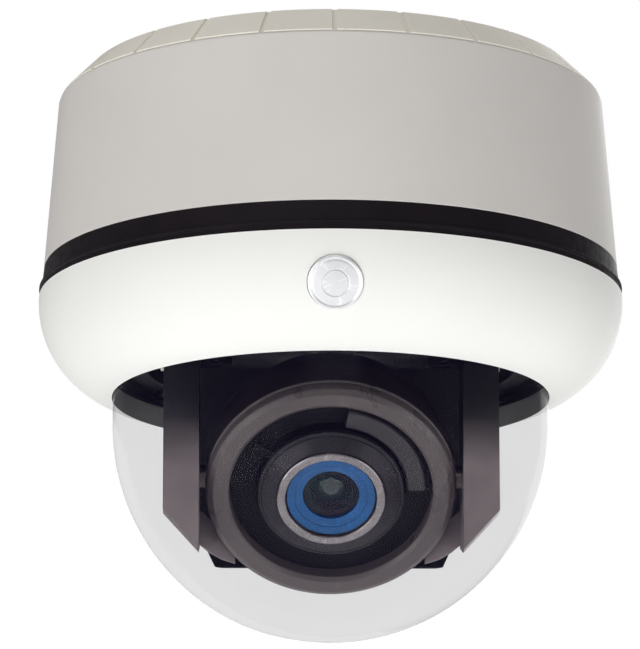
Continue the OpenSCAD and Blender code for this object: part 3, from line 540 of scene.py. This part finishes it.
WALL = 3
ENTRY_R = 10                      # cable entry through the base
BASE_TOP_R = 62
BASE_LOW_R = 69.5
BASE_LOW = level("mount_base", 0)
NOTCHES = 24
NOTCH_SIZE = (14.6, 1.3, 1.7)
CEILING_HOLES_R = 45              # radius of the circle of bolt holes
CEILING_HOLE_R = 2.3
POST_R = 4
POSTS_R = 52
BOX_LOW = level("back_box", 0)
BOX_LOW_R = BASE_LOW_R + 3.3
BOX_FLOOR = BASE_LOW - WALL       # underside of the box's web
BOX_IN_R = BASE_LOW_R - WALL
BOARD_FEET_R = 42
SHELF_TOP = BOX_LOW + 10
SHELF_IN_R = 58.6
CONDUIT_R = 10.5
CONDUIT_BOSS_R = CONDUIT_R + 4
CONDUIT_END = 72.3
CONDUIT_Z = BOX_FLOOR - 18.5
BEZEL_TOP = level("bezel", 1)
BEZEL_ROUND = 25
BEZEL_R = 73.97                   # just inside the CAD's bezel
BEZEL_CENTRE = (BEZEL_R - BEZEL_ROUND, BEZEL_TOP - 1.4)
GASKET_IN_R = 70
GASKET_LIP_R = 73.95
DOME_WALL = 2.5
DOME_GAP = 0.3
OPENING_R = DOME_R + DOME_GAP
SEAT = level("bezel", 0) + 5.6    # where the dome's seal sits in the bezel
FLANGE_R = DOME_R + 5
FLANGE_TOP = level("dome", 1)
FLANGE_LOW = FLANGE_TOP - 2.5
DOME_CENTRE = (0, level("dome", 0) + DOME_R)
HALF_SPHERE_STEPS = 72
CLAMP_SCREWS_R = FLANGE_R + 2.7
SMALL_HOLE_R = 0.95
RETAINER_R = 64.6
RETAINER_TOP = level("dome_retainer", 1)
TRIM_R = 52.2
TRIM_IN_R = 46.5
TRIM_LOW = level("deck_trim", 0)
TRIM_SCREW = (41.4, 26.9)         # the other three mirror it
BAYONET_TAB = ((68.4, 71.5), (-63.8, -61.6))
LOCK_Z = BEZEL_TOP - 4
BADGE_AT = (0, -71.354, -71.094)
BADGE_TILT = 26.6
BADGE_R = 6.7
BADGE_DEPTH = 1.1
BACK = Matrix.Rotation(-math.pi / 2, 4, "X")


def arc(centre, radius, start, stop, steps):
    """Points of an arc, in degrees."""
    out = []
    for i in range(steps + 1):
        t = math.radians(start + (stop - start) * i / steps)
        out.append((centre[0] + radius * math.cos(t), centre[1] + radius * math.sin(t)))
    return out


def around(count, start=0.0):
    return [Matrix.Rotation(2 * math.pi * i / count + math.radians(start), 4, "Z") for i in range(count)]


def rod(name, radius, low, high, matrix=None, edge=0.0, segments=48):
    """A cylinder along Z, with its rims rounded by edge."""
    return lathe(name, [(0, low), (radius, low, edge), (radius, high, edge), (0, high)], segments, matrix, 3)


def block(name, size, centre, matrix=None, edge=0.0):
    x, y, z = (s / 2 for s in size)
    place = at(*centre) if matrix is None else matrix @ at(*centre)
    return extrusion(name, [(-x, -y), (x, -y), (x, y), (-x, y)], -z, z, place, edge)


def model_base():
    """Ivory ceiling base: a sloping flange with a shadow slot every 15 degrees."""
    body = lathe("base", [(ENTRY_R, 0, 0.4), (BASE_TOP_R, 0, 0.9), (BASE_LOW_R, BASE_LOW, 0.25),
                          (BASE_LOW_R - WALL, BASE_LOW, 0.2), (BASE_TOP_R - WALL, -WALL, 0.5),
                          (ENTRY_R, -WALL, 0.4)], 384)
    slope = math.atan2(-BASE_LOW, BASE_LOW_R - BASE_TOP_R)
    cutters = []
    for turn in around(NOTCHES):
        place = turn @ at(BASE_TOP_R, 0, 0) @ Matrix.Rotation(slope, 4, "Y")
        cutters.append(block("slot", NOTCH_SIZE, (5.3, 0, 0.15), place, 0.3))
    holes = [rod("hole", CEILING_HOLE_R, -9, 2, turn @ at(CEILING_HOLES_R, 0, 0)) for turn in around(4, 45)]
    cut_away(body, [join("cutters", cutters + holes)])
    posts = [rod("post", POST_R, BASE_LOW, -2, turn @ at(POSTS_R, 0, 0), 0.3) for turn in around(3, 90)]
    obj = join("ceiling_base", [body] + posts)
    return finish_piece(obj, "housing", "ivory_plastic", ["mount_base"])


def model_box():
    """Tapering back box with the shelf, posts and standoffs inside it and the conduit boss at its back."""
    body = lathe("box", [(ENTRY_R + 2, BASE_LOW, 0.3), (BASE_LOW_R, BASE_LOW, 0.9),
                         (BOX_LOW_R, BOX_LOW, 0.35), (BOX_LOW_R - WALL, BOX_LOW, 0.2),
                         (BOX_IN_R, BOX_FLOOR, 1.5),
                         (ENTRY_R + 2, BOX_FLOOR, 0.3)], 320)
    conduit = at(0, 0, CONDUIT_Z) @ BACK
    boss = rod("boss", CONDUIT_BOSS_R, BOX_IN_R - 0.5, CONDUIT_END, conduit, 0.6, 96)
    cut_away(body, [boss], "UNION")
    cut_away(body, [rod("bore", CONDUIT_R, SHELF_IN_R - 0.6, CONDUIT_END + 1.7, conduit, 0, 96)])
    shelf = lathe("shelf", [(SHELF_IN_R, SHELF_TOP - WALL, 0.3), (70, SHELF_TOP - WALL), (70, SHELF_TOP),
                            (SHELF_IN_R, SHELF_TOP, 0.3)], 192)
    posts = [rod("post", POST_R, SHELF_TOP, -10, turn @ at(POSTS_R, 0, 0)) for turn in around(3, 30)]
    feet = [rod("foot", 3, -18, -10, turn @ at(BOARD_FEET_R, 0, 0)) for turn in around(4)]
    obj = join("back_box_shell", [body, shelf] + posts + feet)
    return finish_piece(obj, "housing", "box_plastic", ["back_box"], smooth=40)


def model_gasket():
    """Rubber band with rounded shoulders and the thin lip that spreads over the bezel."""
    obj = lathe("gasket_band", [(GASKET_IN_R, BOX_LOW), (72.7, BOX_LOW, 0.2), (73.3, -56.0, 0.25),
                                (GASKET_LIP_R, -56.35, 0.12), (GASKET_LIP_R, -56.8, 0.12),
                                (73.45, -57.15, 0.2), (73.5, BEZEL_TOP), (GASKET_IN_R, BEZEL_TOP)], 320)
    return finish_piece(obj, "housing", "black_rubber", ["body_gasket"])


def badge_place():
    return at(*BADGE_AT) @ Matrix.Rotation(math.radians(90 + BADGE_TILT), 4, "X")


def bezel_outline():
    """Outer round from the gasket to the opening, the seat's edge, then the inner round back up."""
    inner = BEZEL_ROUND - WALL
    rise = BEZEL_TOP - BEZEL_CENTRE[1]
    start = math.degrees(math.asin(rise / BEZEL_ROUND))
    stop = -math.degrees(math.acos((OPENING_R - BEZEL_CENTRE[0]) / BEZEL_ROUND))
    inner_start = math.degrees(math.asin(rise / inner))
    inner_stop = math.degrees(math.asin((SEAT - BEZEL_CENTRE[1]) / inner))
    return (arc(BEZEL_CENTRE, BEZEL_ROUND, start, stop, 56) + [(OPENING_R, SEAT, 0.4)]
            + arc(BEZEL_CENTRE, inner, inner_stop, inner_start, 36))


def model_bezel():
    """Rolled bezel with the badge's pocket, the lock screw's hole, the bayonet tabs and the clamp bosses."""
    body = lathe("bezel_body", bezel_outline(), 360)
    lock = at(0, 0, LOCK_Z) @ BACK
    pocket = rod("pocket", BADGE_R + 0.15, -BADGE_DEPTH, 5, badge_place(), 0, 96)
    cut_away(body, [pocket, rod("bore", 1.6, 60, 80, lock), rod("sink", 2.85, 72.6, 80, lock)])
    (tab_in, tab_out), (tab_low, tab_high) = BAYONET_TAB
    tab_outline = rounded([(tab_in, tab_low, 0.3), (tab_out, tab_low), (tab_out, tab_high),
                           (tab_in, tab_high, 0.3)], 3)
    boss_low = SEAT + 0.593
    boss_outline = [(SMALL_HOLE_R, boss_low), (2.3, boss_low), (2.3, -75.0, 0.2), (SMALL_HOLE_R, -75.0, 0.1)]
    parts = [body]
    for turn in around(4, 45):
        bm = bmesh.new()
        lathe_mesh(bm, tab_outline, 24, -15, 30)
        bmesh.ops.transform(bm, matrix=turn, verts=bm.verts)
        parts.append(new_object("tab", bm))
        parts.append(lathe("boss", boss_outline, 32, turn @ at(CLAMP_SCREWS_R, 0, 0)))
    obj = join("bezel_shell", parts)
    return finish_piece(obj, "housing", "white_plastic", ["bezel"], smooth=40)


def model_badge():
    """A plain medallion: domed face, raised rim and one turned groove."""
    profile = [(0, -BADGE_DEPTH), (BADGE_R, -BADGE_DEPTH), (BADGE_R, 0.0, 0.18), (6.2, 0.2, 0.15),
               (5.75, 0.0, 0.12), (5.2, 0.12, 0.3), (3.55, 0.26), (3.4, 0.16, 0.05), (3.1, 0.16, 0.05),
               (2.95, 0.29), (1.5, 0.38), (0, 0.42)]
    obj = lathe("round_badge", profile, 128, badge_place())
    return finish_piece(obj, "housing", "badge_silver", ["badge"])


def model_dome():
    """Clear hemisphere with its clamping flange."""
    inner = DOME_R - DOME_WALL
    flange = [(DOME_R, FLANGE_LOW, 0.6), (FLANGE_R, FLANGE_LOW, 0.3), (FLANGE_R, FLANGE_TOP, 0.3),
              (inner, FLANGE_TOP, 0.4)]
    outline = (arc(DOME_CENTRE, DOME_R, -90, 0, HALF_SPHERE_STEPS) + flange
               + arc(DOME_CENTRE, inner, 0, -90, HALF_SPHERE_STEPS))
    obj = lathe("dome_shell", outline, 256)
    return finish_piece(obj, "housing", "clear_dome", ["dome"], smooth=60)


def screw_holes(spots):
    return join("holes", [rod("hole", SMALL_HOLE_R, -80, -70, at(x, y, 0)) for x, y in spots])


def model_deck():
    """Retainer that clamps the dome and the black trim ring below it, with their screw holes."""
    angles = [math.radians(45 + 90 * i) for i in range(4)]
    clamp_spots = [(CLAMP_SCREWS_R * math.cos(t), CLAMP_SCREWS_R * math.sin(t)) for t in angles]
    trim_spots = [(sx * TRIM_SCREW[0], sy * TRIM_SCREW[1]) for sx in (-1, 1) for sy in (-1, 1)]
    retainer = lathe("retainer", [(TRIM_IN_R, FLANGE_TOP, 0.2), (RETAINER_R, FLANGE_TOP, 0.3),
                                  (RETAINER_R, RETAINER_TOP, 0.5), (TRIM_IN_R, RETAINER_TOP, 0.5)], 256)
    cut_away(retainer, [screw_holes(clamp_spots + trim_spots)])
    finish_piece(retainer, "housing", "black_plastic", ["dome_retainer"])
    trim = lathe("trim_ring", [(TRIM_IN_R, TRIM_LOW, 0.35), (TRIM_R, TRIM_LOW, 0.35), (TRIM_R, FLANGE_TOP),
                               (TRIM_IN_R, FLANGE_TOP)], 256)
    cut_away(trim, [screw_holes(trim_spots)])
    finish_piece(trim, "housing", "black_plastic", ["deck_trim"])


SOFT_PARTS = [
    # name, CAD node, edge radius
    ("deck_screws", "small_screws", 0.12),
    ("case_screws", "housing_screws", 0.15),
    ("hex_plug", "conduit_plug", 0.3),
    ("lock_bolt", "lock_screw", 0.15),
    ("turntable_disc", "turntable", 0.4),
    ("yoke_left", "left_arm", 0.55),
    ("yoke_right", "right_arm", 0.55),
    ("cover_left", "left_arm_cover", 0.3),
    ("cover_right", "right_arm_cover", 0.3),
    ("yoke_screws", "arm_screws", 0.12),
    ("dark_liner", "rear_liner", 0.35),
    ("blade_upper", "iris_upper", 0.06),
    ("blade_lower", "iris_lower", 0.06),
    ("barrel_block", "lens_body", 0.2),
    ("zoom_can", "zoom_motor_can", 0.3),
    ("pan_can", "pan_motor_can", 0.4),
    ("tilt_can", "tilt_motor_can", 0.4),
    ("hub_sleeve", "pan_hub", 0.25),
    ("plate_chassis", "chassis_plate", 0.3),
    ("wired_jack", "network_jack", 0.25),
    ("screw_terminal", "power_terminal", 0.25),
    ("chips", "board_components", 0.2),
]


TOE_OUTLINE = [(33.5, -110), (33.5, -119.0), (30.7, -121.3), (27.5, -123.1), (24, -124.2),
               (24, -122.6), (29.2, -114)]
TOE_DEPTH = (-11.8, -10.4)


def toe(side):
    """Thin web at the foot of an arm that closes the gap to the ball at rest."""
    outline = [(side * x, z) for x, z in TOE_OUTLINE]
    return extrusion("toe", outline, *TOE_DEPTH, Matrix.Rotation(math.pi / 2, 4, "X"), 0.2)


# the arms, toes included, get the material with the painted reflection low down
LOOKS = {"left_arm": "arm_plastic_painted_reflection", "right_arm": "arm_plastic_painted_reflection", "rear_liner": "matt_black"}


def model_soft_parts():
    for name, node, radius in SOFT_PARTS:
        obj = softened(name, node, radius)
        if node in ("left_arm", "right_arm"):
            obj = join(name, [obj, toe(-1 if node == "left_arm" else 1)])
        look = LOOKS.get(node, "matt_black" if SLOT_OF[node] == "lens_black" else None)
        finish_piece(obj, BODY_OF[node], SLOT_OF[node], [node], look)


model_base()
model_box()
model_gasket()
model_bezel()
model_badge()
model_dome()
model_deck()
model_soft_parts()


# Camera ball, drawn in the lens frame in millimetres: Z along the lens from the tilt axis

BALL_OUT = 31.4
BALL_IN = BALL_OUT - 2
SPLIT = -2                   # where the two halves of the ball meet
SHELL_FRONT = 3.6
REAR_OPENING = 4
AXLE_R = 3
RING_IN_R = 25.5
BARREL_R = 18.4
BORE_R = 11.2
THREAD_TOP = 9.75
THREAD_PITCH = 0.2
THREAD_TURNS = 8
GLASS_BALL_R = 22            # radius of the front glass's curve
GLASS_R = 6.95
KNURL_R = 17.5
KNURLS = 36
KNURL_DEPTH = 0.28
LEVER_ANGLE = 147
COVER_IN_R = 18.85
COVER_OUT_R = 23.95

def wedge(profile, start, sweep, segments=48, steps=3):
    """A part of a turned ring, in the lens frame."""
    bm = bmesh.new()
    lathe_mesh(bm, rounded(profile, steps), segments, start, sweep)
    bmesh.ops.transform(bm, matrix=AIM, verts=bm.verts)
    return new_object("wedge", bm)


def across(height=0.0):
    """Lens frame turned so that Z runs along the tilt axis."""
    return AIM @ Matrix.Rotation(math.pi / 2, 4, "Y") @ at(0, 0, height)


def model_front_ring():
    """Heavy rounded ring with a groove round its side and a thin lip behind it."""
    profile = [(RING_IN_R, 3.65, 0.2), (31.15, 3.65, 0.2), (31.6, 4.0, 0.18), (31.6, 4.55, 0.18),
               (30.95, 4.75, 0.12), (30.95, 5.35, 0.12), (31.5, 5.55, 0.3), (31.0, 7.3, 1.2),
               (29.6, 8.3, 0.9), (26.6, 8.3, 0.9), (RING_IN_R, 7.4, 0.6)]
    obj = lathe("ball_ring", profile, 320, AIM, 6)
    return finish_piece(obj, "camera_ball", "ball_plastic", ["front_ring"])


def latitude(height, radius):
    """Angle in degrees at which a sphere of this radius reaches a height."""
    return math.degrees(math.asin(height / radius))


def axle_bores():
    return [rod("bore", AXLE_R, 28, 34, across()), rod("bore", AXLE_R, -34, -28, across())]


def model_shells():
    """Front and rear halves of the ball, with the baffle round the lens."""
    profile = (arc((0, 0), BALL_OUT, latitude(SPLIT, BALL_OUT), latitude(SHELL_FRONT, BALL_OUT), 10)
               + [(29.25, SHELL_FRONT)]
               + arc((0, 0), BALL_IN, latitude(3.0, BALL_IN), latitude(SPLIT, BALL_IN), 8))
    front = lathe("ball_front", profile, 256, AIM)
    cut_away(front, axle_bores())
    finish_piece(front, "camera_ball", "ball_plastic", ["front_shell"], "dark_shell")
    baffle = lathe("lens_baffle", [(18.6, 2.2, 0.2), (29.3, 2.2), (29.3, SHELL_FRONT),
                                   (26.2, SHELL_FRONT, 0.2), (25.9, 3.4, 0.2), (19.4, 3.4, 0.2),
                                   (19.2, SHELL_FRONT, 0.15), (18.6, SHELL_FRONT, 0.2)], 256, AIM)
    finish_piece(baffle, "camera_ball", "black_plastic", (), "matt_black")
    low_out = -math.degrees(math.acos(REAR_OPENING / BALL_OUT))
    low_in = -math.degrees(math.acos(REAR_OPENING / BALL_IN))
    profile = (arc((0, 0), BALL_OUT, low_out, latitude(SPLIT, BALL_OUT), 64)
               + arc((0, 0), BALL_IN, latitude(SPLIT, BALL_IN), low_in, 56))
    rear = lathe("ball_rear", profile, 256, AIM)
    cut_away(rear, axle_bores())
    finish_piece(rear, "camera_ball", SLOT_OF["rear_shell"], ["rear_shell"], "dark_shell")


def thread():
    """Saw-tooth outline of the filter thread, from the mouth of the bore inwards."""
    out = []
    for i in range(THREAD_TURNS):
        z = THREAD_TOP - THREAD_PITCH * i
        out += [(BORE_R, z), (BORE_R + 0.12, z - THREAD_PITCH / 2)]
    return out


def model_lens():
    """Stepped front barrel with a bright rim, fine filter thread, blue ring and front element."""
    barrel = [(10, -4.5, 0.1), (12.92, -4.5, 0.1), (12.92, 6.5), (BARREL_R, 6.5, 0.15), (BARREL_R, 7.7, 0.3),
              (17.6, 7.95, 0.15), (17.45, 7.85, 0.05), (17.25, 8.1, 0.1), (13.95, 9.7, 0.15),
              (13.6, 10.1, 0.1), (13.3, 10.3, 0.12), (11.6, 10.3, 0.15)]
    barrel += thread() + [(BORE_R, 8.1), (7.1, 7.15), (5.5, 7.15, 0.1), (5.5, 6.6), (10, 6.6)]
    obj = lathe("front_barrel", barrel, 256, AIM)
    finish_piece(obj, "lens_group", "lens_barrel", ["lens_front"], smooth=25)
    rim = lathe("bright_rim", [(11.45, 10.0), (13.75, 9.85), (13.55, 10.18, 0.12), (13.3, 10.36, 0.12),
                               (11.7, 10.36, 0.18), (11.45, 10.15, 0.08)], 256, AIM)
    finish_piece(rim, "lens_group", "lens_barrel", (), "satin_rim")
    ring = lathe("blue_ring", [(7.05, 7.25), (11.15, 8.2), (11.15, 9.4, 0.12), (9.3, 8.95, 0.08),
                               (9.2, 8.8, 0.05), (9.0, 8.75, 0.05), (8.9, 8.82, 0.08),
                               (7.05, 8.3, 0.12)], 192, AIM)
    finish_piece(ring, "lens_group", "accent_blue", ["accent_ring"], smooth=30)
    rise = GLASS_BALL_R - math.sqrt(GLASS_BALL_R ** 2 - GLASS_R ** 2)
    curve = arc((0, 7.75 + rise - GLASS_BALL_R), GLASS_BALL_R, 90 - latitude(GLASS_R, GLASS_BALL_R), 90, 18)
    glass = lathe("front_element", [(0, 7.15), (GLASS_R, 7.15, 0.1)] + curve, 128, AIM)
    finish_piece(glass, "lens_group", "optic_glass", ["front_glass"], smooth=50)
    facets = lathe("inner_element", [(0, 4.2), (3.3, 4.2), (3.3, 4.6), (2.1, 5.0), (1.1, 4.85), (0, 5.05)],
                   9, AIM)
    finish_piece(facets, "lens_group", "optic_glass", (), "inner_optic", smooth=5)


def knurled(r, z, angle):
    """Radius of the focus ring at a point, less the groove there."""
    if r > 16.8 and -0.6 < z < 4.6:
        return r - KNURL_DEPTH * max(0.0, math.cos(angle * KNURLS)) ** 2
    return r


def model_focus_ring():
    """Knurled ring and the lever that reaches out over the baffle."""
    bm = bmesh.new()
    count = KNURLS * 6
    rows = []
    profile = rounded([(14.9, -1.2, 0.2), (KNURL_R, -1.2, 0.3), (KNURL_R, 5.2, 0.3), (14.9, 5.2, 0.2)], 3)
    for i in range(count):
        t = 2 * math.pi * i / count
        points = [(knurled(r, z, t), z) for r, z in profile]
        rows.append([bm.verts.new((r * math.cos(t), r * math.sin(t), z)) for r, z in points])
    for i in range(count):
        first, second = rows[i], rows[(i + 1) % count]
        for k in range(len(profile)):
            n = (k + 1) % len(profile)
            bm.faces.new((first[k], second[k], second[n], first[n]))
    bmesh.ops.transform(bm, matrix=AIM, verts=bm.verts)
    ring = new_object("knurl", bm)
    turn = AIM @ Matrix.Rotation(math.radians(LEVER_ANGLE), 4, "Z")
    arm = block("lever", (7.0, 2.4, 1.15), (19.5, 0, 4.6), turn, 0.3)
    obj = join("focus_grip", [ring, arm])
    return finish_piece(obj, "focus_ring", SLOT_OF["focus_ring"], ["focus_ring"], "matt_black")


def model_gear_cover():
    """Curved cover over the zoom drive, with a rounded top and a recessed panel."""
    shell = wedge([(COVER_IN_R, 3.65), (COVER_OUT_R, 3.65), (COVER_OUT_R, 6.4, 0.9), (COVER_IN_R, 6.4, 0.9)],
                  0.4, 79.2, 64, 5)
    cavity = wedge([(20.1, 3.0), (22.7, 3.0), (22.7, 5.3), (20.1, 5.3)], 4, 72, 48)
    cut_away(shell, [cavity])
    shell.name = "drive_cover"
    return finish_piece(shell, "camera_ball", "cover_grey", ["gear_cover"])


model_front_ring()
model_shells()
model_lens()
model_focus_ring()
model_gear_cover()


# Stage and light

def add_world(backdrop, ambient):
    """White surroundings: backdrop is how bright they look, ambient how much light they give."""
    world = bpy.data.worlds.new("studio")
    bpy.context.scene.world = world
    world.use_nodes = True
    tree = world.node_tree
    background = tree.nodes["Background"]
    background.inputs["Color"].default_value = (1, 1, 1, 1)
    seen = tree.nodes.new("ShaderNodeLightPath").outputs["Is Camera Ray"]
    level = tree.nodes.new("ShaderNodeMapRange")
    level.inputs["To Min"].default_value = ambient
    level.inputs["To Max"].default_value = backdrop
    tree.links.new(seen, level.inputs["Value"])
    tree.links.new(level.outputs[0], background.inputs["Strength"])


def add_light(name, place, target, size, energy, colour=(1, 1, 1)):
    data = bpy.data.lights.new(name, "AREA")
    data.shape = "RECTANGLE"
    data.size, data.size_y = size
    data.energy = energy
    data.color = colour
    light = bpy.data.objects.new(name, data)
    bpy.context.scene.collection.objects.link(light)
    place, target = Vector(place), Vector(target)
    light.location = place
    light.rotation_euler = (target - place).to_track_quat("-Z", "Y").to_euler()
    return light


FLOOR_Z = -900
FLOOR_HALF = 6000
MIDDLE = (0, 0, -0.07)       # what most lights aim at, in metres


def add_floor():
    bm = bmesh.new()
    bmesh.ops.create_grid(bm, x_segments=2, y_segments=2, size=FLOOR_HALF)
    bmesh.ops.transform(bm, matrix=at(0, 0, FLOOR_Z), verts=bm.verts)
    floor = new_object("studio_floor", bm)
    s = Shader("studio_floor", 0.7)
    s.link(s.mix(s.spread(s.noise(900, 2), 0, 1), (0.83, 0.83, 0.83), (0.86, 0.86, 0.86)), "Base Color")
    s.link(s.spread(s.noise(120, 3), 0.6, 0.8), "Roughness")
    s.bump(s.noise(3, 2), 0.02, 0.2)
    floor.data.materials.append(s.material)


add_world(1.0, 0.28)
add_light("front_strip", (0.02, -1.3, 0.12), (0, 0, -0.1), (0.6, 0.2), 1.2)
add_light("low_key", (-0.95, -0.85, -0.6), MIDDLE, (1.1, 0.9), 8.5)
add_light("low_fill", (1.0, -0.75, -0.6), MIDDLE, (0.9, 0.8), 4.6)
add_light("top_soft", (-0.35, -0.6, 1.0), (0, 0, -0.03), (0.8, 0.8), 3.6)
add_light("rear_soft", (0.4, 1.3, 0.35), MIDDLE, (1.0, 1.0), 7.0)
floor_wash = add_light("floor_wash", (0, 0, -0.4), (0, 0, FLOOR_Z * MM), (4.0, 4.0), 42.0)
floor_wash.visible_camera = False
add_floor()
bpy.context.scene.view_settings.view_transform = "Standard"
